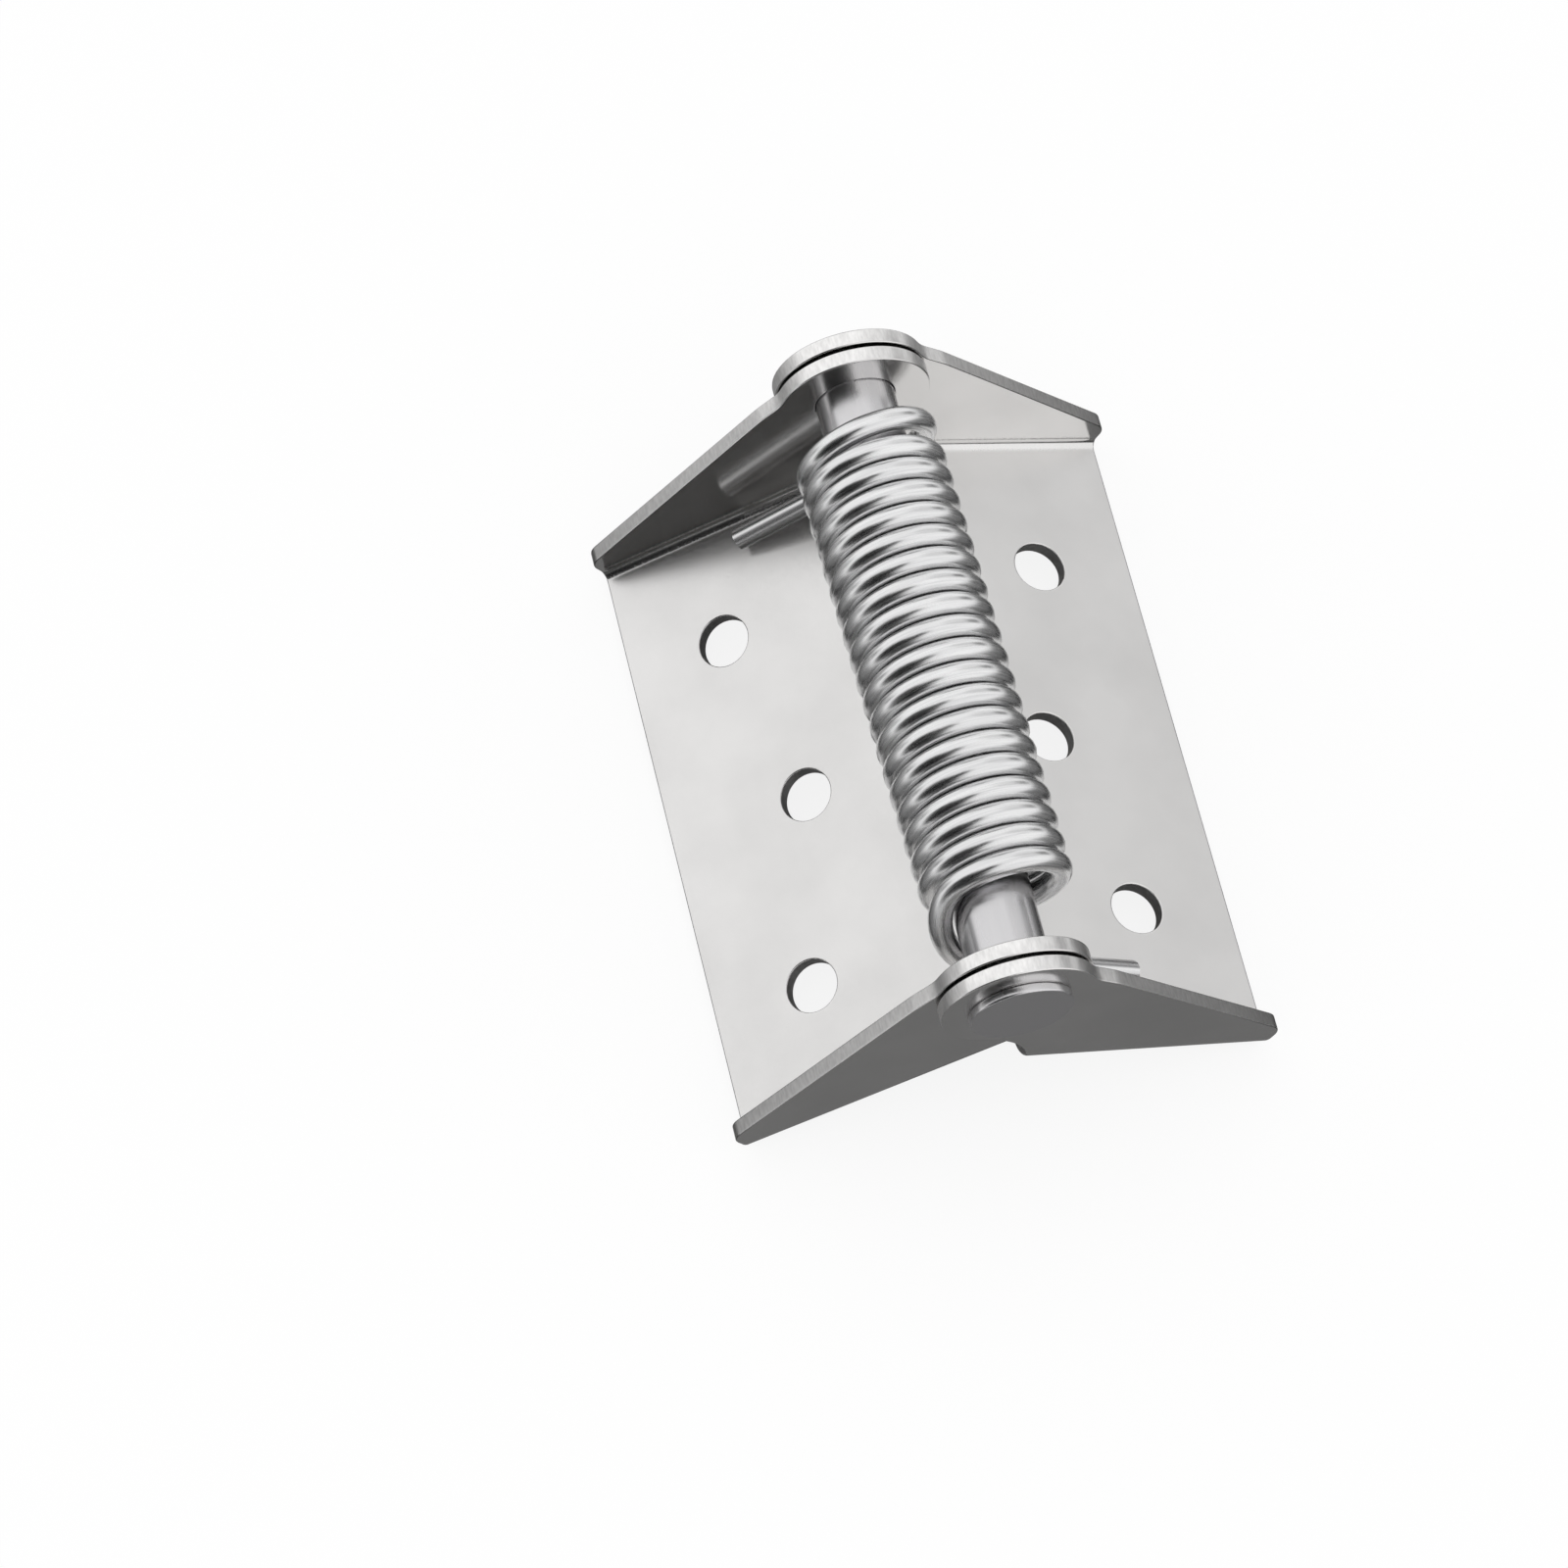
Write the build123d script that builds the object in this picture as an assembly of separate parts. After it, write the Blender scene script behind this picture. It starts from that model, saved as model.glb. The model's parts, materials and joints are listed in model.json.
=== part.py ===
"""Spring loaded door hinge: two folded leaves, a headed pin and a torsion spring.

Millimetres. +Y runs along the pin, from its head to its riveted end, and +Z is the spring's side.
The hinge lies as it rests: both leaves bent back against their stop, standing on their outer edges.
The origin is on the floor, under the middle of the hinge's box.
"""

import os
from math import acos, asin, atan2, cos, degrees, hypot, pi, radians, sin, sqrt, tan

from build123d import *

# Sheet
sheet = 2.0
bend_radius = 1.2

# Leaves. A leaf's own axes: X outwards from the pin, Y along the pin, Z towards the spring.
hinge_length = 88.0
near_gap = 0.45
far_gap = 0.5
plate_drop = 15.3
outer_reach = 41.0
inner_reach = 43.7
stop_angle = 47.4
stop_clearance = 0.05

# Ears
eye_radius = 9.6
taper_offset = 9.2
shoulder_reach = 8.0
shoulder_dip = 0.9
shoulder_hollow_radius = 5.0
shoulder_crest_radius = 14.0
nose_radius = 2.5
nose_lift = 4.2
nose_overhang = 0.2
foot_setback = 1.6
throat_land = 0.8

# Screw holes
hole_diameter = 6.8
hole_spacing = 48.7
hole_row_middle = 43.5
outer_hole_inset = 12.7
inner_hole_inset = 13.4
middle_hole_step = 5.5

# Pin
pin_diameter = 10.0
outer_fit = 0.02
running_fit = 0.08
head_diameter = 12.8
head_thickness = 1.2
head_edge_radius = 0.3
rivet_diameter = 11.8
rivet_height = 1.1
rivet_chamfer = 0.7

# Spring
wire_diameter = 3.0
coil_gap = 0.17
coil_outer_diameter = 18.7
coil_count = 20
coil_sides = 12
coil_start = 13.5
near_coil_shift = 1.1
far_coil_shift = -0.4
near_opening = 3.9
near_opening_turns = 0.28
near_leg_reach = 24.2
near_leg_place = 9.8
far_opening = 1.8
far_opening_turns = 0.6
far_leg_reach = 24.2
far_leg_place = 79.6
leg_clearance = 0.05

# Worked out from the sizes above
plate_back = plate_drop + sheet
pin_radius = pin_diameter / 2
wire_radius = wire_diameter / 2
coil_radius = coil_outer_diameter / 2 - wire_radius
coil_corner_radius = coil_radius * 2 / (1 + cos(pi / coil_sides))
coil_pitch = wire_diameter + coil_gap
inner_edge = plate_back * tan(radians(stop_angle / 2)) + stop_clearance
inner_near = sheet + near_gap
inner_far = hinge_length - sheet - far_gap


def resting_tilts():
    """The angle by which each leaf falls from level, so that both outer edges touch the floor."""
    reach = (outer_reach, inner_reach)
    arm = [hypot(r, plate_back) for r in reach]
    dip = [degrees(atan2(plate_back, r)) for r in reach]
    total = radians(stop_angle + dip[0] + dip[1])
    first = degrees(atan2(arm[1] * sin(total), arm[0] + arm[1] * cos(total)))
    outer = first - dip[0]
    return outer, stop_angle - outer


def ear_outline(reach):
    """The face that a leaf shows from its end: plate, tapering ear and round eye."""
    nose = (reach + nose_overhang - nose_radius, nose_lift - plate_back)
    foot = (reach - foot_setback, -plate_back)
    slope = atan2(-nose[1], nose[0]) + asin((taper_offset - nose_radius) / hypot(*nose))
    end = (nose[0] + nose_radius * sin(slope), nose[1] + nose_radius * cos(slope))
    crest = along_taper(slope, shoulder_reach, taper_offset)
    hollow = along_taper(slope, 0, taper_offset - shoulder_dip)
    throat = (inner_edge, -plate_drop)

    edge = [(0, 0), throat, (inner_edge, -plate_back), foot, nose, end, crest, hollow]
    body = Polygon(*edge, align=None)
    body = fillet(nearest(body, crest), shoulder_crest_radius)

    face = body + Pos(*nose) * Circle(nose_radius) + Circle(eye_radius)
    meeting = along_taper(slope, eye_radius * sin(acos(taper_offset / eye_radius)), taper_offset)
    face = fillet(nearest(face, meeting), shoulder_hollow_radius)
    throat_length = hypot(*throat) - throat_land
    throat_radius = (throat_length**2 - eye_radius**2) / (2 * eye_radius)
    lower = tuple(eye_radius * c / hypot(*throat) for c in throat)
    return fillet(nearest(face, lower), throat_radius)


def along_taper(slope, reach, offset):
    """A place so far along the ear's taper, and so far above the line through the pin beside it."""
    return (reach * cos(slope) + offset * sin(slope), offset * cos(slope) - reach * sin(slope))


def nearest(face, place):
    """The corner of a flat face that lies nearest to a place."""
    return face.vertices().sort_by_distance((place[0], place[1], 0))[0]


def channel(reach, near, far):
    """The bent sheet before its ears are trimmed: a channel that opens towards the spring."""
    top = eye_radius + 1
    height = top + plate_back
    middle = (near + far) / 2
    floor = Pos(middle, -plate_back) * Rectangle(far - near, height, align=(Align.CENTER, Align.MIN))
    floor = fillet(floor.vertices().group_by(Axis.Y)[0], bend_radius + sheet)
    room = Pos(middle, -plate_drop) * Rectangle(
        far - near - 2 * sheet, height, align=(Align.CENTER, Align.MIN)
    )
    room = fillet(room.vertices().group_by(Axis.Y)[0], bend_radius)
    start = -eye_radius - 1
    across = Plane(origin=(start, 0, 0), x_dir=(0, 1, 0), z_dir=(1, 0, 0))
    return extrude(across * (floor - room), reach + nose_overhang - start + 1)


def screw_hole(reach, along):
    """One plain round hole through the plate."""
    return Pos(reach, along, -plate_drop - sheet / 2) * Cylinder(hole_diameter / 2, 3 * sheet)


def leaf(reach, hole_inset, near, far, pin_fit):
    """One folded leaf in its own axes: two eared ends and a plate with three screw holes."""
    side = Plane(origin=(0, far + 1, 0), x_dir=(1, 0, 0), z_dir=(0, -1, 0))
    solid = channel(reach, near, far) & extrude(side * ear_outline(reach), far - near + 2)

    width = far - near - 2 * (sheet + bend_radius)
    corner = (Align.MIN, Align.CENTER, Align.MIN)
    edge = Pos(reach, (near + far) / 2, -plate_back)
    solid -= edge * Box(2 * nose_overhang, width, 2 * nose_lift, align=corner)
    solid += edge * Pos(-2 * nose_radius) * Box(2 * nose_radius, width, sheet, align=corner)
    hole_reach = reach - hole_inset
    solid -= screw_hole(hole_reach, hole_row_middle - hole_spacing / 2)
    solid -= screw_hole(hole_reach - middle_hole_step, hole_row_middle)
    solid -= screw_hole(hole_reach, hole_row_middle + hole_spacing / 2)
    bore = Cylinder(pin_radius + pin_fit, 3 * hinge_length, rotation=(90, 0, 0))
    return solid - bore


def hinge_pin():
    """The pin with its flat head, and its far end riveted over to a low button."""
    head_radius = head_diameter / 2
    rivet_radius = rivet_diameter / 2
    end = hinge_length + rivet_height
    outline = Polyline(
        (0, -head_thickness),
        (head_radius, -head_thickness),
        (head_radius, 0),
        (pin_radius, 0),
        (pin_radius, hinge_length),
        (rivet_radius, hinge_length),
        (rivet_radius, end - rivet_chamfer),
        (rivet_radius - rivet_chamfer, end),
        (0, end),
        close=True,
    )
    pin = revolve(make_face(outline), Axis.Y)
    rim = pin.edges().filter_by(GeomType.CIRCLE).group_by(Axis.Y)[0]
    return fillet(rim, head_edge_radius)


def in_coil_axes(place, tilt, centre):
    """A place in the hinge's axes, seen from the spring's: Z along the coil, from its near end."""
    frame = Pos(*centre) * Rot(0, 0, tilt) * Rot(-90, 0, 0)
    return (frame.inverse() * Pos(*place)).position, frame


def on_leaf(side, fall, reach, along, height):
    """A place on a leaf, in the hinge's axes: side is 1 for the outer leaf and -1 for the inner."""
    a = radians(fall)
    return (
        side * (reach * cos(a) + height * sin(a)),
        along,
        height * cos(a) - reach * sin(a),
    )


def torsion_spring(outer_fall, inner_fall):
    """A close-wound right-handed spring. Each leg leaves the coil at a tangent and ends on a leaf."""
    leg_height = wire_radius + leg_clearance - plate_drop
    near_tip = on_leaf(1, outer_fall, near_leg_reach, near_leg_place, leg_height)
    far_tip = on_leaf(-1, inner_fall, far_leg_reach, far_leg_place, leg_height)

    tilt = degrees(asin((near_coil_shift - far_coil_shift) / (coil_count * coil_pitch)))
    centre = (near_coil_shift, coil_start, 0)
    near_end, frame = in_coil_axes(near_tip, tilt, centre)
    far_end, _ = in_coil_axes(far_tip, tilt, centre)

    first = atan2(near_end.Y, near_end.X) + acos(coil_radius / hypot(near_end.X, near_end.Y))
    last = atan2(far_end.Y, far_end.X) - acos(coil_radius / hypot(far_end.X, far_end.Y))
    turns = coil_count + (last - first) / radians(360)
    steps = round(turns * coil_sides)
    coil = [coil_corner(first, turns * k / steps, turns) for k in range(steps + 1)]

    path = Polyline(near_end, *coil, far_end)
    section = Plane(origin=path @ 0, z_dir=path % 0) * Circle(wire_radius)
    return frame * sweep(section, path=path, transition=Transition.RIGHT)


def coil_corner(first, turn, turns):
    """A corner of the coil's centre line. Both of its ends open out to the legs."""
    angle = first + radians(360) * turn
    near = near_opening * easing(turn / near_opening_turns)
    far = far_opening * easing((turns - turn) / far_opening_turns)
    along = turn * coil_pitch - near + far
    return (coil_corner_radius * cos(angle), coil_corner_radius * sin(angle), along)


def easing(share):
    """Falls smoothly from 1 at an end of the coil to 0 where its closed turns begin."""
    return (1 + cos(pi * min(share, 1))) / 2


def hinge():
    """Every piece in its place, on the floor, round the middle of the hinge's box."""
    outer_fall, inner_fall = resting_tilts()
    outer = Rot(0, outer_fall, 0) * leaf(outer_reach, outer_hole_inset, 0, hinge_length, outer_fit)
    inner = leaf(inner_reach, inner_hole_inset, inner_near, inner_far, running_fit)
    inner = mirror(inner, about=Plane.YZ)
    pieces = {
        "outer_leaf": outer,
        "inner_leaf": Rot(0, -inner_fall, 0) * inner,
        "hinge_pin": hinge_pin(),
        "torsion_spring": torsion_spring(outer_fall, inner_fall),
    }
    boxes = [piece.bounding_box() for piece in pieces.values()]
    left, right = min(b.min.X for b in boxes), max(b.max.X for b in boxes)
    near, far = min(b.min.Y for b in boxes), max(b.max.Y for b in boxes)
    to_origin = Pos(-(left + right) / 2, -(near + far) / 2, -min(b.min.Z for b in boxes))
    return {name: to_origin * piece for name, piece in pieces.items()}, to_origin


pieces, to_origin = hinge()
os.makedirs("parts", exist_ok=True)
for name, piece in pieces.items():
    export_step(piece, f"parts/{name}.step")
    print(name, "volume", round(piece.volume, 1), "mm3")
print("pin axis through", tuple(to_origin.position), "leaves fall by", resting_tilts())
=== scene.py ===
# %% [markdown]
# # A spring loaded door hinge
# Two folded steel leaves turn on a thick pin, and a torsion spring round the pin pulls the door
# shut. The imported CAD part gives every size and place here. Blender adds what the eye needs:
# softened edges, a round wire instead of a faceted one, and steel that was sheared, rolled,
# turned or drawn.

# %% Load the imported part
import json
from math import acos, asin, atan2, cos, hypot, pi, radians, sin, tan, tau

import bpy
from mathutils import Matrix, Vector

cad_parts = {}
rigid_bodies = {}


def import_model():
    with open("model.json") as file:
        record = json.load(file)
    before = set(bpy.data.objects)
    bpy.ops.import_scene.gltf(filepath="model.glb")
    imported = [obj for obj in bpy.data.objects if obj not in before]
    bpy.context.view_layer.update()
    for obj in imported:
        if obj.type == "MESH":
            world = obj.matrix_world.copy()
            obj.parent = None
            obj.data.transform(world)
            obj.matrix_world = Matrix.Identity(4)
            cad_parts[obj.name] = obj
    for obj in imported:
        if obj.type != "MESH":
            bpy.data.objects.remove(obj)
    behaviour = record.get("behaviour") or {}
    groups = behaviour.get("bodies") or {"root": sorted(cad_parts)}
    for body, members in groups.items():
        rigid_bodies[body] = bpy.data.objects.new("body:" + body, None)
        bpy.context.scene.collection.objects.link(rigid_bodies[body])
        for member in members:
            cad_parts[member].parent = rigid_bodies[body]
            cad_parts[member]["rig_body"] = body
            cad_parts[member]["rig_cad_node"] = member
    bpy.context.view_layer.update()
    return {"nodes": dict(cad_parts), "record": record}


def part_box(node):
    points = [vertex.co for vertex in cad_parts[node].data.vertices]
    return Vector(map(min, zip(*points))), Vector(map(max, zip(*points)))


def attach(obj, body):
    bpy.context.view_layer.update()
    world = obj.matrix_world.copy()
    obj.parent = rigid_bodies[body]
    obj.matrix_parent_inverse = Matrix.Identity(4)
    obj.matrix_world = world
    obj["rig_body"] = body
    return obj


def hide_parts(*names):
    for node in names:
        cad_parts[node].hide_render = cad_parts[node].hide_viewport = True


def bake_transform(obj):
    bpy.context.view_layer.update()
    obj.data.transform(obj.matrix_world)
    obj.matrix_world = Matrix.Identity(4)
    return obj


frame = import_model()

MM = 0.001
record = frame["record"]
joint = record["behaviour"]["joints"][0]
mounts = {m["name"]: m for m in record["mounts"]}
axis_place = Vector(joint["pos_m"])
pin_low, pin_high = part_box("hinge_pin")
leaf_low, leaf_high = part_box("outer_leaf")
LEAF_LENGTH = leaf_high.y - leaf_low.y
print("pin axis", tuple(axis_place), "leaf length in mm", LEAF_LENGTH / MM)

# %% [markdown]
# ## Working with one piece at a time
# An operator acts on everything that is selected, and the import leaves the CAD nodes selected.
# So each step first selects only the piece that it works on. Edges are chosen in code, by the
# angle between their faces or by where they lie.

# %% Select one piece, and finish it


def select_only(piece):
    bpy.ops.object.select_all(action="DESELECT")
    piece.select_set(True)
    bpy.context.view_layer.objects.active = piece


def apply_modifiers(piece):
    select_only(piece)
    for modifier in list(piece.modifiers):
        bpy.ops.object.modifier_apply(modifier=modifier.name)


# %% [markdown]
# ## The leaves
# Each leaf is one piece of 2 mm strip, blanked and folded. A press leaves sheared edges that look
# sharp but aren't: a tumbler has rounded them by a tenth or two of a millimetre, and that thin
# rounding is what draws a fine line round every face. The CAD solid has the right shape with
# knife-sharp edges, so a copy of it is merged, its flat facets are dissolved into whole faces and
# a narrow bevel goes round every sharp edge. Modelling the leaf again would only risk its fit.

# %% The axes of a leaf


def leaf_axes(side):
    """A screw hole's place on the leaf, the way up from its plate and the way out from the pin."""
    hole = mounts[side + "_leaf_near_screw"]
    up = Vector(hole["axis"])
    out = Vector((up.z, 0, -up.x)) * (1 if up.x > 0 else -1)
    return Vector(hole["pos_m"]), up, out


SHEET = mounts["outer_leaf_near_screw"]["dims"]["length_mm"] * MM
print("sheet in mm", SHEET / MM)

# %% [markdown]
# The CAD solid cuts the foot of each ear back a little in the bend. On the real leaf the sheared
# edge runs straight down from the ear's rounded corner, through the bend, to the plate's edge. So
# the foot's corners move out to that line.

# %% Carry the sheared edge through the bends
FOOT_CUT = 2.4 * MM
ROUND_FROM = 4.2 * MM
BEND_WIDTH = 3.3 * MM
ON_THE_BACK = 0.1 * MM


def straighten_foot(piece, side):
    """Moves the foot's corners out to the line from the plate's edge to the ear's round corner."""
    hole, up, out = leaf_axes(side)
    corners = piece.data.vertices
    reaches = [(corner.co - axis_place).dot(out) for corner in corners]
    heights = [(corner.co - hole).dot(up) + SHEET / 2 for corner in corners]
    near, far = min(corner.co.y for corner in corners), max(corner.co.y for corner in corners)
    plate_reach = max(r for r, height in zip(reaches, heights) if height < ON_THE_BACK)
    bulge = max(reaches) - plate_reach
    moved = 0
    for corner, reach, height in zip(corners, reaches, heights):
        in_bend = min(corner.co.y - near, far - corner.co.y) < BEND_WIDTH
        if in_bend and reach > plate_reach - FOOT_CUT and height < ROUND_FROM:
            share = max(0, (height - SHEET) / (ROUND_FROM - SHEET))
            corner.co += out * (plate_reach + bulge * share - reach)
            moved += 1
    print(piece.name, "foot corners moved", moved, "bulge in mm", bulge / MM)


# %% [markdown]
# The CAD mesh is loose triangles, so the copy's doubled corners are merged first. Merging the very
# short edges after that keeps the bevel from folding over itself, so it can have its full width.

# %% Copy a CAD node and round its sharp edges
TUMBLED_EDGE = 0.2 * MM
SHARP = radians(28)
FLAT = radians(0.5)
SAME_PLACE = 0.001 * MM
SHORTEST_EDGE = 0.1 * MM
NO_LENGTH = 0.01 * MM


def rounded_copy(node, name, side):
    source = frame["nodes"][node]
    piece = source.copy()
    piece.data = source.data.copy()
    piece.name = piece.data.name = name
    piece.parent = None
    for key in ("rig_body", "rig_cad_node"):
        del piece[key]
    bpy.context.scene.collection.objects.link(piece)

    select_only(piece)
    bpy.ops.object.mode_set(mode="EDIT")
    bpy.ops.mesh.select_all(action="SELECT")
    bpy.ops.mesh.remove_doubles(threshold=SAME_PLACE)
    bpy.ops.mesh.dissolve_limited(angle_limit=FLAT)
    bpy.ops.object.mode_set(mode="OBJECT")

    straighten_foot(piece, side)
    bpy.ops.object.mode_set(mode="EDIT")
    bpy.ops.mesh.select_all(action="SELECT")
    bpy.ops.mesh.remove_doubles(threshold=SHORTEST_EDGE)
    bpy.ops.mesh.dissolve_degenerate(threshold=NO_LENGTH)
    bpy.ops.mesh.dissolve_limited(angle_limit=FLAT)
    bpy.ops.mesh.normals_make_consistent(inside=False)
    bpy.ops.object.mode_set(mode="OBJECT")

    edge = piece.modifiers.new("tumbled edge", "BEVEL")
    edge.width = TUMBLED_EDGE
    edge.segments = 3
    edge.limit_method = "ANGLE"
    edge.angle_limit = SHARP
    edge.use_clamp_overlap = False
    apply_modifiers(piece)
    bpy.ops.object.shade_smooth_by_angle(angle=SHARP)
    faces = piece.modifiers.new("flat faces stay flat", "WEIGHTED_NORMAL")
    faces.keep_sharp = True
    apply_modifiers(piece)
    print(name, "faces", len(piece.data.polygons))
    return piece


outer_leaf = rounded_copy("outer_leaf", "outer_leaf_steel", "outer")
inner_leaf = rounded_copy("inner_leaf", "inner_leaf_steel", "inner")

# %% [markdown]
# ## The pin
# The pin is a 10 mm bar with a thin upset head at its near end. Its far end is riveted over the
# ear. It is round all along, so one circle is extruded and scaled step by step, as on a lathe, and
# then its edges are bevelled. The steps are those of the CAD solid, read from its corners.

# %% Read the pin's steps from its CAD node
INSIDE_HEAD = 0.1 * MM
HAIR = 0.01 * MM
pin_points = [corner.co - axis_place for corner in frame["nodes"]["hinge_pin"].data.vertices]


def pin_radii(low, high):
    """How far the pin's corners between two places along it lie from its axis."""
    return [hypot(p.x, p.z) for p in pin_points if low <= p.y <= high]


head_thickness = leaf_low.y - pin_low.y
rivet_height = pin_high.y - leaf_high.y
head_radius = max(pin_radii(pin_low.y, leaf_low.y - INSIDE_HEAD))
rivet_radius = max(pin_radii(leaf_high.y + HAIR, pin_high.y))
shank_radius = min(pin_radii(leaf_low.y - HAIR, leaf_low.y + HAIR))
print("pin radii in mm", head_radius / MM, shank_radius / MM, rivet_radius / MM)

# %% Extrude the pin from its head
PIN_SIDES = 96


def grow(along, radius_now, radius_next):
    """Extrudes the selected end face along the pin, or scales it in its own plane."""
    bpy.ops.mesh.extrude_region_move(TRANSFORM_OT_translate={"value": (0, along, 0)})
    ratio = radius_next / radius_now
    if ratio != 1:
        bpy.ops.transform.resize(value=(ratio, 1, ratio), center_override=end_centre())


def end_centre():
    mesh = bpy.context.object.data
    bpy.context.object.update_from_editmode()
    chosen = [v.co for v in mesh.vertices if v.select]
    return sum(chosen, Vector()) / len(chosen)


bpy.ops.object.select_all(action="DESELECT")
bpy.ops.mesh.primitive_circle_add(
    vertices=PIN_SIDES, radius=head_radius, fill_type="NGON",
    location=(axis_place.x, pin_low.y, axis_place.z), rotation=(pi / 2, 0, 0),
)
pin = bpy.context.object
pin.name = pin.data.name = "hinge_pin_steel"
bpy.ops.object.transform_apply(location=True, rotation=True, scale=True)
bpy.ops.object.mode_set(mode="EDIT")
bpy.ops.mesh.select_all(action="SELECT")
grow(head_thickness, head_radius, head_radius)
grow(0, head_radius, shank_radius)
grow(LEAF_LENGTH, shank_radius, shank_radius)
grow(0, shank_radius, rivet_radius)
grow(rivet_height, rivet_radius, rivet_radius)
bpy.ops.mesh.select_all(action="SELECT")
bpy.ops.mesh.normals_make_consistent(inside=False)
bpy.ops.object.mode_set(mode="OBJECT")

# %% Round the pin's edges
HEAD_EDGE = 0.3 * MM
rim = pin.modifiers.new("turned edge", "BEVEL")
rim.width = HEAD_EDGE
rim.segments = 4
rim.limit_method = "ANGLE"
rim.angle_limit = SHARP
apply_modifiers(pin)
bpy.ops.object.shade_smooth_by_angle(angle=SHARP)
pin.modifiers.new("flat faces stay flat", "WEIGHTED_NORMAL")
apply_modifiers(pin)
print("pin faces", len(pin.data.polygons))

# %% [markdown]
# ## The spring
# A torsion spring is wound from one length of wire, so it is drawn as one line with a round
# section. The line is the same as the CAD part's: a leg, twenty close turns, and the other leg.
# The CAD part has twelve straight runs to a turn, to keep its facets few. Here there are enough
# points for the eye to see a true coil. Its first and last part turn open out to the legs.

# %% The spring's sizes
WIRE = 3.0 * MM
COIL_GAP = 0.17 * MM
COIL_OUTER = 18.7 * MM
TURNS = 20
COIL_START = 13.5 * MM
NEAR_SHIFT, FAR_SHIFT = 1.1 * MM, -0.4 * MM
NEAR_OPENING, FAR_OPENING = 3.9 * MM, 1.8 * MM
NEAR_OPENING_TURNS, FAR_OPENING_TURNS = 0.28, 0.6
POINTS_PER_TURN = 48
LEG_CLEARANCE = 0.05 * MM

wire_radius = WIRE / 2
coil_radius = COIL_OUTER / 2 - wire_radius
pitch = WIRE + COIL_GAP


# %% Where the legs end, on the two plates
def on_plate(side, reach, along):
    """A place for the wire's centre on a leaf's plate."""
    hole, up, out = leaf_axes(side)
    from_axis = (hole - axis_place).dot(out)
    place = hole + out * (reach - from_axis) + up * (SHEET / 2 + wire_radius + LEG_CLEARANCE)
    place.y = leaf_low.y + along
    return place


LEG_REACH = 24.2 * MM
NEAR_LEG_PLACE, FAR_LEG_PLACE = 9.8 * MM, 79.6 * MM
near_tip = on_plate("outer", LEG_REACH, NEAR_LEG_PLACE)
far_tip = on_plate("inner", LEG_REACH, FAR_LEG_PLACE)
print("leg tips in mm", near_tip / MM, far_tip / MM)


# %% The coil's line
def easing(share):
    """Falls smoothly from 1 at an end of the coil to 0 where its closed turns begin."""
    return (1 + cos(pi * min(share, 1))) / 2


lean = asin((NEAR_SHIFT - FAR_SHIFT) / (TURNS * pitch))
coil_origin = Vector((axis_place.x + NEAR_SHIFT, leaf_low.y + COIL_START, axis_place.z))
leaning = Matrix.Rotation(lean, 4, "Z") @ Matrix.Rotation(-pi / 2, 4, "X")
coil_axes = Matrix.Translation(coil_origin) @ leaning
near_local = coil_axes.inverted() @ near_tip
far_local = coil_axes.inverted() @ far_tip


def tangent_angle(tip):
    """The angle at the coil's middle between a leg's tip and the place where the leg leaves."""
    return acos(coil_radius / hypot(tip.x, tip.y))


first = atan2(near_local.y, near_local.x) + tangent_angle(near_local)
last = atan2(far_local.y, far_local.x) - tangent_angle(far_local)
turns = TURNS + (last - first) / tau


def coil_point(turn):
    angle = first + tau * turn
    near = NEAR_OPENING * easing(turn / NEAR_OPENING_TURNS)
    far = FAR_OPENING * easing((turns - turn) / FAR_OPENING_TURNS)
    along = turn * pitch - near + far
    return Vector((coil_radius * cos(angle), coil_radius * sin(angle), along))


steps = round(turns * POINTS_PER_TURN)
coil = [coil_point(turns * k / steps) for k in range(steps + 1)]
line = [near_local, *coil, far_local]
print("turns", round(turns, 3), "points", len(line))

# %% A round wire along the line
wire = bpy.data.curves.new("torsion_spring_wire", "CURVE")
wire.dimensions = "3D"
wire.bevel_depth = wire_radius
wire.bevel_resolution = 6
wire.use_fill_caps = True
spline = wire.splines.new("POLY")
spline.points.add(len(line) - 1)
for point, place in zip(spline.points, line):
    point.co = (*(coil_axes @ place), 1)

drawn = bpy.data.objects.new("torsion_spring_wire", wire)
bpy.context.scene.collection.objects.link(drawn)
select_only(drawn)
bpy.ops.object.convert(target="MESH")
spring = bpy.context.object
spring.name = spring.data.name = "torsion_spring_wire"
bpy.ops.object.shade_smooth_by_angle(angle=SHARP)
print("spring faces", len(spring.data.polygons))

# %% [markdown]
# Drawing leaves fine lines along the wire. For a pattern that follows it round the coil, every
# point of the mesh keeps where it lies on a straight wire: two places across it, and one along it.

# %% Remember each point's place on the straight wire
run = [0.0]
for before, after in zip(line, line[1:]):
    run.append(run[-1] + (after - before).length)
points = len(spring.data.vertices)
sides = points // len(line)
unwound = spring.data.attributes.new("unwound", "FLOAT_VECTOR", "POINT")
for index in range(points):
    ring, corner = divmod(index, sides)
    across = tau * corner / sides
    place_along = run[min(ring, len(run) - 1)]
    unwound.data[index].vector = (
        wire_radius * cos(across), wire_radius * sin(across), place_along)
print("points round the wire", sides, "in its end caps", points - sides * len(line))
print("wire length in mm", run[-1] / MM)

# %% [markdown]
# ## Materials
# The whole hinge is one bright stainless steel, and the maker's steps give each surface its own
# look. Colours are written as on a screen, in hex, and one function turns them to the linear
# values that the shader wants. Another adds a node with its settings and links. A noise texture
# lies mostly between 0.3 and 0.7, so a Map Range node spreads that part over the whole effect.

# %% Helpers for materials


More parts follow.
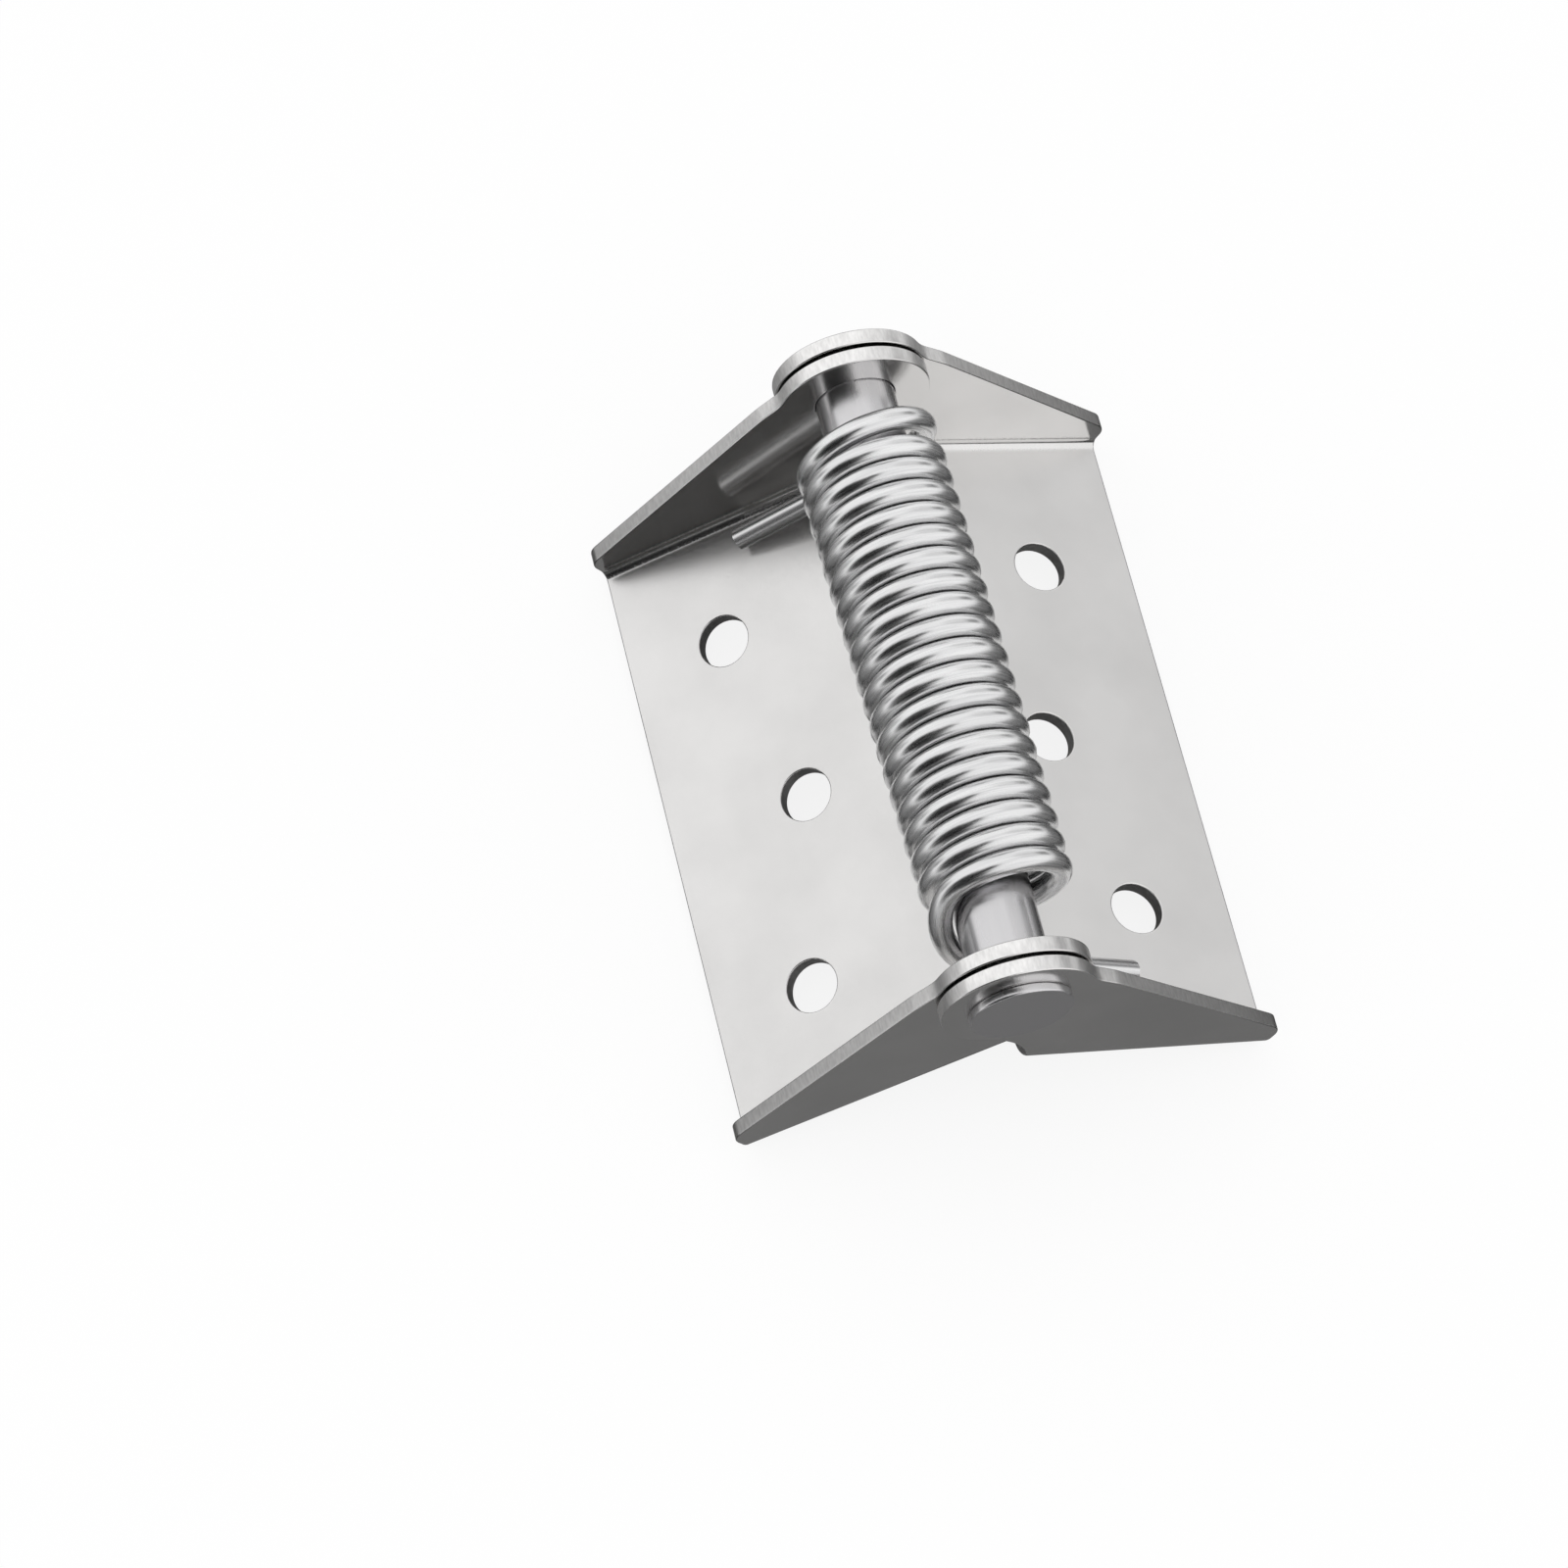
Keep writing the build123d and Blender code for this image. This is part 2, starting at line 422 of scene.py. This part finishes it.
def linear(hex_colour):
    """A colour as on a screen, such as #E2E1E1, in the linear values of the shader."""
    parts = [int(hex_colour[i:i + 2], 16) / 255 for i in (1, 3, 5)]
    return (*(p / 12.92 if p <= 0.04045 else ((p + 0.055) / 1.055) ** 2.4 for p in parts), 1)


def connect(tree, node, links):
    """Leads each output to the node's socket of that name."""
    for name, output in dict(links).items():
        tree.links.new(output, node.inputs[name])


def add(tree, kind, links=(), inputs=(), **settings):
    """Adds a node. inputs are its values by socket, links the outputs that go into it."""
    node = tree.nodes.new(kind)
    for name, value in settings.items():
        setattr(node, name, value)
    for name, value in dict(inputs).items():
        node.inputs[name].default_value = value
    connect(tree, node, links)
    return node


def blank_material(name):
    """A new material with no nodes in it yet, and its tree."""
    material = bpy.data.materials.new(name)
    material.use_nodes = True
    material.node_tree.nodes.clear()
    return material, material.node_tree


def steel(name, colour, roughness):
    """A metal with its colour and roughness set on the shader, and the tree to add detail to."""
    material, tree = blank_material(name)
    shader = add(tree, "ShaderNodeBsdfPrincipled", inputs={
        "Base Color": linear(colour), "Metallic": 1.0, "Roughness": roughness})
    add(tree, "ShaderNodeOutputMaterial", {"Surface": shader.outputs["BSDF"]})
    return material, tree, shader


# %% [markdown]
# ### Cold-rolled, tumbled stainless sheet
# Rolled sheet has a soft satin sheen. Tumbling with the other blanks adds a faint cloudiness, a
# fine grain and tiny dents that point every way. The eye sees a calm light grey that isn't quite
# even. The folding tool has pressed the ears flat and bright, so they are smoother than the plate.
# The grain is drawn a little coarser than the real one, so that it shows.

# %% Tumbled sheet
GRAIN_SIZE = 0.35 * MM
CLOUD_SIZE = 14 * MM
DENT_SPACING = 2.6 * MM
GRAIN_DEPTH, DENT_DEPTH = 0.01 * MM, 0.02 * MM
PLATE_ROUGHNESS, EAR_ROUGHNESS = 0.32, 0.15
sheet_steel, tree, shader = steel("tumbled_stainless_sheet", "#E2E1E1", PLATE_ROUGHNESS)
place = add(tree, "ShaderNodeTexCoord")
cloud = add(tree, "ShaderNodeTexNoise", {"Vector": place.outputs["Object"]}, {
    "Scale": 1 / CLOUD_SIZE, "Detail": 3.0})
grain = add(tree, "ShaderNodeTexNoise", {"Vector": place.outputs["Object"]}, {
    "Scale": 1 / GRAIN_SIZE, "Detail": 2.0})
tint = add(tree, "ShaderNodeMapRange", {"Value": cloud.outputs["Fac"]}, {
    "From Min": 0.35, "From Max": 0.65})
colour = add(tree, "ShaderNodeMix", {"Factor": tint.outputs["Result"]}, {
    "A": linear("#E0DFDE"), "B": linear("#E8E7E6")}, data_type="RGBA")
print(sheet_steel.name, "nodes for the colour", len(tree.nodes))

# %% [markdown]
# The ears face along the pin, so the Y part of a face's direction tells an ear from the plate.

# %% How rough the sheet is
direction = add(tree, "ShaderNodeSeparateXYZ", {"Vector": place.outputs["Normal"]})
on_ear = add(tree, "ShaderNodeMath", {0: direction.outputs["Y"]}, operation="ABSOLUTE")
base = add(tree, "ShaderNodeMapRange", {"Value": on_ear.outputs["Value"]}, {
    "From Min": 0.1, "From Max": 0.9, "To Min": PLATE_ROUGHNESS, "To Max": EAR_ROUGHNESS})
uneven = add(tree, "ShaderNodeMapRange", {"Value": grain.outputs["Fac"]}, {
    "From Min": 0.3, "From Max": 0.7, "To Min": 0.88, "To Max": 1.12})
rough = add(tree, "ShaderNodeMath", {
    0: base.outputs["Result"], 1: uneven.outputs["Result"]}, operation="MULTIPLY")
print("roughness", PLATE_ROUGHNESS, "on the plate and", EAR_ROUGHNESS, "on the ears")

# %% Grain and dents in the sheet
dents = add(tree, "ShaderNodeTexVoronoi", {"Vector": place.outputs["Object"]}, {
    "Scale": 1 / DENT_SPACING, "Randomness": 1.0})
dent = add(tree, "ShaderNodeMapRange", {"Value": dents.outputs["Distance"]}, {
    "From Min": 0.05, "From Max": 0.1, "To Min": 1.0, "To Max": 0.0})
fine = add(tree, "ShaderNodeBump", {"Height": grain.outputs["Fac"]}, {
    "Strength": 0.05, "Distance": GRAIN_DEPTH})
marks = add(tree, "ShaderNodeBump", {
    "Height": dent.outputs["Result"], "Normal": fine.outputs["Normal"]}, {
    "Strength": 0.25, "Distance": DENT_DEPTH}, invert=True)
connect(tree, shader, {
    "Base Color": colour.outputs["Result"], "Roughness": rough.outputs["Value"],
    "Normal": marks.outputs["Normal"]})
print(sheet_steel.name, "nodes", len(tree.nodes))

# %% [markdown]
# ### Sheared edges
# The shear cuts the first part of the thickness and tears the rest, so an edge is bright and
# slightly rough, with fine streaks across the thickness, beside the calm face of the sheet. The
# streaks are drawn wider than the real ones, so that they show.

# %% Sheared edges
TEAR_SIZE = 0.38 * MM
TEAR_STRETCH = 0.3
TEAR_DEPTH = 0.05 * MM
edge_steel, tree, shader = steel("sheared_stainless_edge", "#F0EFEE", 0.3)
place = add(tree, "ShaderNodeTexCoord")
across = add(tree, "ShaderNodeMapping", {"Vector": place.outputs["Object"]}, {
    "Scale": (1.0, TEAR_STRETCH, 1.0)})
tear = add(tree, "ShaderNodeTexNoise", {"Vector": across.outputs["Vector"]}, {
    "Scale": 1 / TEAR_SIZE, "Detail": 2.0})
shade = add(tree, "ShaderNodeMapRange", {"Value": tear.outputs["Fac"]}, {
    "From Min": 0.3, "From Max": 0.7})
colour = add(tree, "ShaderNodeMix", {"Factor": shade.outputs["Result"]}, {
    "A": linear("#E6E5E4"), "B": linear("#FBFAF9")}, data_type="RGBA")
bump = add(tree, "ShaderNodeBump", {"Height": tear.outputs["Fac"]}, {
    "Strength": 0.3, "Distance": TEAR_DEPTH})
connect(tree, shader, {
    "Base Color": colour.outputs["Result"], "Normal": bump.outputs["Normal"]})
print(edge_steel.name, "nodes", len(tree.nodes))

# %% [markdown]
# ### Turned bar
# The pin is turned from bar and then tumbled. Faint rings from the tool go round it. Soft bands
# run
# along it: they vary its roughness, and in its colour they are painted reflection. Its end faces
# are even, so the bands fade where a face looks along the pin.

# %% Turned bar
RING_PITCH = 0.35 * MM
RING_DEPTH = 0.02 * MM
WAVES_PER_UNIT = 20
REFLECTION_BAND_WIDTH = 2.2 * MM
REFLECTION_BAND_STRETCH = 0.12
pin_steel, tree, shader = steel("turned_stainless_bar", "#E4E3E4", 0.26)
place = add(tree, "ShaderNodeTexCoord")
squeeze = add(tree, "ShaderNodeMapping", {"Vector": place.outputs["Object"]}, {
    "Scale": (1.0, REFLECTION_BAND_STRETCH, 1.0)})
reflection_and_roughness_noise = add(tree, "ShaderNodeTexNoise", {"Vector": squeeze.outputs["Vector"]}, {
    "Scale": 1 / REFLECTION_BAND_WIDTH, "Detail": 2.0})
direction = add(tree, "ShaderNodeSeparateXYZ", {"Vector": place.outputs["Normal"]})
on_end = add(tree, "ShaderNodeMath", {0: direction.outputs["Y"]}, operation="ABSOLUTE")
reflection_and_roughness_bands = add(tree, "ShaderNodeMix", {
    "Factor": on_end.outputs["Value"], "A": reflection_and_roughness_noise.outputs["Fac"]}, {"B": 0.5})
rough = add(tree, "ShaderNodeMapRange", {"Value": reflection_and_roughness_bands.outputs["Result"]}, {
    "From Min": 0.3, "From Max": 0.7, "To Min": 0.18, "To Max": 0.34})
# The bands darken and lighten the colour along the pin: painted reflection, not the bar's own
# tone.
colour = add(tree, "ShaderNodeMix", {"Factor": reflection_and_roughness_bands.outputs["Result"]}, {
    "A": linear("#C4C3C5"), "B": linear("#E8E7E8")}, data_type="RGBA")
print(pin_steel.name, "nodes for the bands", len(tree.nodes))

# %% The tool's rings on the bar
ring = add(tree, "ShaderNodeTexWave", {"Vector": place.outputs["Object"]}, {
    "Scale": 1 / RING_PITCH / WAVES_PER_UNIT, "Distortion": 0.6, "Detail": 1.0},
    wave_type="BANDS", bands_direction="Y")
bump = add(tree, "ShaderNodeBump", {"Height": ring.outputs["Fac"]}, {
    "Strength": 0.04, "Distance": RING_DEPTH})
connect(tree, shader, {
    "Base Color": colour.outputs["Result"], "Roughness": rough.outputs["Result"],
    "Normal": bump.outputs["Normal"]})
print(pin_steel.name, "nodes", len(tree.nodes))

# %% [markdown]
# ### Bright drawn wire
# The die polishes the wire and scratches it along its length. So the highlights are soft across
# the wire and broken into faint streaks that run round the coil. The streaks are drawn coarser
# than the real ones, so that they show.

# %% Bright drawn wire
LINE_WIDTH = 0.26 * MM
LINE_STRETCH = 0.03
LINE_DEPTH = 0.03 * MM
wire_steel, tree, shader = steel("bright_drawn_stainless_wire", "#E2E2E2", 0.28)
place = add(tree, "ShaderNodeAttribute", attribute_name="unwound")
along = add(tree, "ShaderNodeMapping", {"Vector": place.outputs["Vector"]}, {
    "Scale": (1.0, 1.0, LINE_STRETCH)})
lines = add(tree, "ShaderNodeTexNoise", {"Vector": along.outputs["Vector"]}, {
    "Scale": 1 / LINE_WIDTH, "Detail": 3.0})
shade = add(tree, "ShaderNodeMapRange", {"Value": lines.outputs["Fac"]}, {
    "From Min": 0.32, "From Max": 0.68})
colour = add(tree, "ShaderNodeMix", {"Factor": shade.outputs["Result"]}, {
    "A": linear("#DADADB"), "B": linear("#F0F0F0")}, data_type="RGBA")
rough = add(tree, "ShaderNodeMapRange", {"Value": lines.outputs["Fac"]}, {
    "From Min": 0.32, "From Max": 0.68, "To Min": 0.21, "To Max": 0.3})
bump = add(tree, "ShaderNodeBump", {"Height": lines.outputs["Fac"]}, {
    "Strength": 0.05, "Distance": LINE_DEPTH})
connect(tree, shader, {
    "Base Color": colour.outputs["Result"], "Roughness": rough.outputs["Result"],
    "Normal": bump.outputs["Normal"]})
print(wire_steel.name, "nodes", len(tree.nodes))

# %% [markdown]
# ## Each piece gets its finish
# The leaves and the pin move with their bodies, and the CAD node that a piece stands for is
# hidden.
# The pin is held in the outer leaf. On a leaf, the cut faces get the sheared finish. They are
# found by where they lie and which way they face: the ears' rims, the plate's outer end and the
# walls of the holes.

# %% Finish, body and CAD node


def coat(piece, material, body, node):
    """Gives a piece its finish and the body it moves with, if one is given, and hides the CAD node
    that it stands for.
    """
    piece.data.materials.clear()
    piece.data.materials.append(material)
    if body:
        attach(piece, body)
    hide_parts(node)
    print(piece.name, "is", material.name, "and stands for", node)


# %% Find the cut faces of a leaf
ACROSS_THE_PIN = 0.2
ACROSS_THE_PLATE = 0.3
BESIDE_A_HOLE = 0.6 * MM


def mark_sheared(piece, side):
    """Gives a leaf's cut faces their own material: the ears' rims, the plate's end, the holes."""
    piece.data.materials.append(edge_steel)
    hole, up, _ = leaf_axes(side)
    top = (hole - axis_place).dot(up) + SHEET
    holes = [(Vector(m["pos_m"]), m["dims"]["r_mm"] * MM + BESIDE_A_HOLE)
             for name, m in mounts.items() if name.startswith(side) and m["kind"] == "bore"]
    cut = 0
    for face in piece.data.polygons:
        rim = abs(face.normal.y) < ACROSS_THE_PIN
        wall = abs(face.normal.dot(up)) < ACROSS_THE_PLATE
        above_plate = (face.center - axis_place).dot(up) > top
        in_hole = any((face.center - place).length < reach for place, reach in holes)
        if (rim and above_plate) or (rim and wall) or (wall and in_hole):
            face.material_index = 1
            cut += 1
    print(piece.name, "cut faces", cut)


# %% Finish the leaves and the pin
coat(outer_leaf, sheet_steel, "outer", "outer_leaf")
coat(inner_leaf, sheet_steel, "inner", "inner_leaf")
mark_sheared(outer_leaf, "outer")
mark_sheared(inner_leaf, "inner")
coat(pin, pin_steel, "outer", "hinge_pin")

# %% [markdown]
# ## The spring's finish
# The near leg stays with the outer leaf and the far leg with the inner one. When the door opens,
# each turn takes its share of the twist. Here the wire only gets its finish, and its place is
# baked into its mesh: it moves with neither leaf.

# %% Finish the spring
coat(spring, wire_steel, None, "torsion_spring")
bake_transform(spring)

# %% [markdown]
# ## Floor, light and camera
# The hinge stands on a plain white floor under an even white sky, which gives soft shadows and a
# white background. The floor is an opal light table: it glows as white as the sky would make it,
# so the steel sees the same white below it as above. Polished steel only looks like steel if it
# has something dark to reflect, so dark and grey cards stand round it, out of the picture. A few
# of them paint the hinge's shadow in.

# %% Floor and sky
FLOOR_SIZE = 6.0
GLOW_SHARE = 0.85
bpy.ops.object.select_all(action="DESELECT")
bpy.ops.mesh.primitive_plane_add(size=FLOOR_SIZE, location=(0, 0, 0))
floor = bpy.context.object
floor.name = "studio_floor"
floor_paint, tree = blank_material("opal_light_table")
opal = add(tree, "ShaderNodeBsdfDiffuse", inputs={"Color": linear("#FCFCFC")})
glow = add(tree, "ShaderNodeEmission", inputs={"Color": linear("#FFFFFF"), "Strength": 1.0})
table = add(tree, "ShaderNodeMixShader", {
    1: opal.outputs["BSDF"], 2: glow.outputs["Emission"]}, {"Fac": GLOW_SHARE})
add(tree, "ShaderNodeOutputMaterial", {"Surface": table.outputs["Shader"]})
floor.data.materials.append(floor_paint)

world = bpy.data.worlds.new("white_sky")
bpy.context.scene.world = world
world.use_nodes = True
sky = world.node_tree.nodes["Background"]
sky.inputs["Color"].default_value = (1, 1, 1, 1)
sky.inputs["Strength"].default_value = 1.0
print(floor.name, "across in m", FLOOR_SIZE, "share that glows", GLOW_SHARE)

# %% [markdown]
# Each card is round, with an edge that fades, so that it leaves no hard line on the steel. Only
# reflections see it: it neither shows nor shades the floor.

# %% A round card that fades away
CARD_SIDES = 64


def round_card(name, centre, level, inner, outer):
    """One grey out to the inner radius, and nothing left of it at the outer one."""
    bpy.ops.object.select_all(action="DESELECT")
    bpy.ops.mesh.primitive_circle_add(
        vertices=CARD_SIDES, radius=outer, fill_type="NGON", location=centre)
    piece = bpy.context.object
    piece.name = name
    paint, tree = blank_material(name + "_paint")
    place = add(tree, "ShaderNodeTexCoord")
    reach = add(tree, "ShaderNodeVectorMath", {0: place.outputs["Object"]}, operation="LENGTH")
    fade = add(tree, "ShaderNodeMapRange", {"Value": reach.outputs["Value"]}, {
        "From Min": inner, "From Max": outer}, interpolation_type="SMOOTHSTEP")
    grey = add(tree, "ShaderNodeEmission", inputs={
        "Color": (level, level, level, 1), "Strength": 1.0})
    clear = add(tree, "ShaderNodeBsdfTransparent")
    mixed = add(tree, "ShaderNodeMixShader", {
        "Fac": fade.outputs["Result"], 1: grey.outputs["Emission"], 2: clear.outputs["BSDF"]})
    add(tree, "ShaderNodeOutputMaterial", {"Surface": mixed.outputs["Shader"]})
    piece.data.materials.append(paint)
    piece.visible_camera = piece.visible_diffuse = piece.visible_shadow = False
    return piece


# %% [markdown]
# The cards that stand in the air are given by the direction in which the steel sees them, and by
# the angles at which they start to fade and are gone. A grey level of 1 would be the sky's white.

# %% Cards in the air
CARD_DISTANCE = 1.0
AIR_CARDS = {
    # name: (direction from the hinge, grey level, fades from this angle, gone at this one)
    "card_front_left": ((-0.62, -0.55, 0.56), 0.01, 27, 43),
    "card_over_front": ((-0.08, -0.37, 0.93), 0.03, 8, 17),
    "card_left": ((-0.93, 0.37, 0.03), 0.22, 4, 19),
    "card_right": ((0.92, 0.37, 0.12), 0.2, 5, 20),
    "card_low_front": ((-0.2, -0.97, 0.08), 0.04, 12, 30),
    "card_low_back": ((0.08, 0.98, 0.14), 0.2, 6, 18),
    "card_right_back": ((0.755, 0.367, 0.545), 0.78, 14, 28),
}
for name, (direction, level, *angles) in AIR_CARDS.items():
    toward = Vector(direction).normalized()
    centre = Vector((0, 0, axis_place.z)) + toward * CARD_DISTANCE
    inner, outer = (CARD_DISTANCE * tan(radians(angle)) for angle in angles)
    piece = round_card(name, centre, level, inner, outer)
    piece.rotation_mode = "QUATERNION"
    piece.rotation_quaternion = (-toward).to_track_quat("Z", "Y")
print("cards in the air", len(AIR_CARDS))

# %% [markdown]
# The others lie on the floor, one over the other. The near faces of the ears, the walls of the
# holes and the plates' lower edges look down at them. Two are stretched along the plates. The dark
# card under the hinge is a painted shadow of the hinge, and the two along the plates are painted
# contact shadow under their lower edges.

# %% Cards on the floor
CARD_LIFT = 0.1 * MM
FLOOR_CARDS = {
    # name: (x and y in m, grey level, fades from this radius, gone at this one, stretch along Y)
    "grey_mat": (0, -0.05, 0.16, 0.07, 0.45, 1.0),
    "dark_mat_right": (0.095, 0.016, 0.13, 0.04, 0.09, 1.0),
    # painted shadow of the hinge on the floor, seen only in reflections
    "painted_shadow_under_hinge": (0, 0, 0.015, 0.036, 0.046, 1.0),
    # painted contact shadow under the plates' lower edges, seen only in reflections
    "painted_contact_shadow_left": (-0.043, 0, 0.03, 0.009, 0.013, 5.0),
    "painted_contact_shadow_right": (0.043, 0, 0.03, 0.009, 0.013, 5.0),
    "grey_mat_left": (-0.40, 0.15, 0.35, 0.10, 0.32, 1.0),
}
for layer, (name, (x, y, level, inner, outer, stretch)) in enumerate(FLOOR_CARDS.items(), 1):
    piece = round_card(name, (x, y, layer * CARD_LIFT), level, inner, outer)
    piece.scale.y = stretch
print("cards on the floor", len(FLOOR_CARDS))

# %% [markdown]
# The camera looks down on the hinge from its near end. Its place, turn and lens put the corners
# of the CAD part where they are seen on the real hinge.

# %% Camera
LENS = 129.458
SENSOR = 36.0
CAMERA_FROM_PIN = Vector((-52.53, -244.04, 617.08)) * MM
CAMERA_TURN = [radians(angle) for angle in (24.2908, 3.0025, -13.1785)]
pin_near_end = Vector((axis_place.x, leaf_low.y, axis_place.z))
bpy.ops.object.camera_add(location=pin_near_end + CAMERA_FROM_PIN, rotation=CAMERA_TURN)
camera = bpy.context.object
camera.data.sensor_width = SENSOR
camera.data.lens = LENS
camera.data.clip_start, camera.data.clip_end = 0.05, 20
bpy.context.scene.camera = camera
print("camera at", tuple(camera.location))

# %% [markdown]
# ## Last
# The standard view shows colours as they are written.

# %% Colour management
bpy.context.scene.view_settings.view_transform = "Standard"
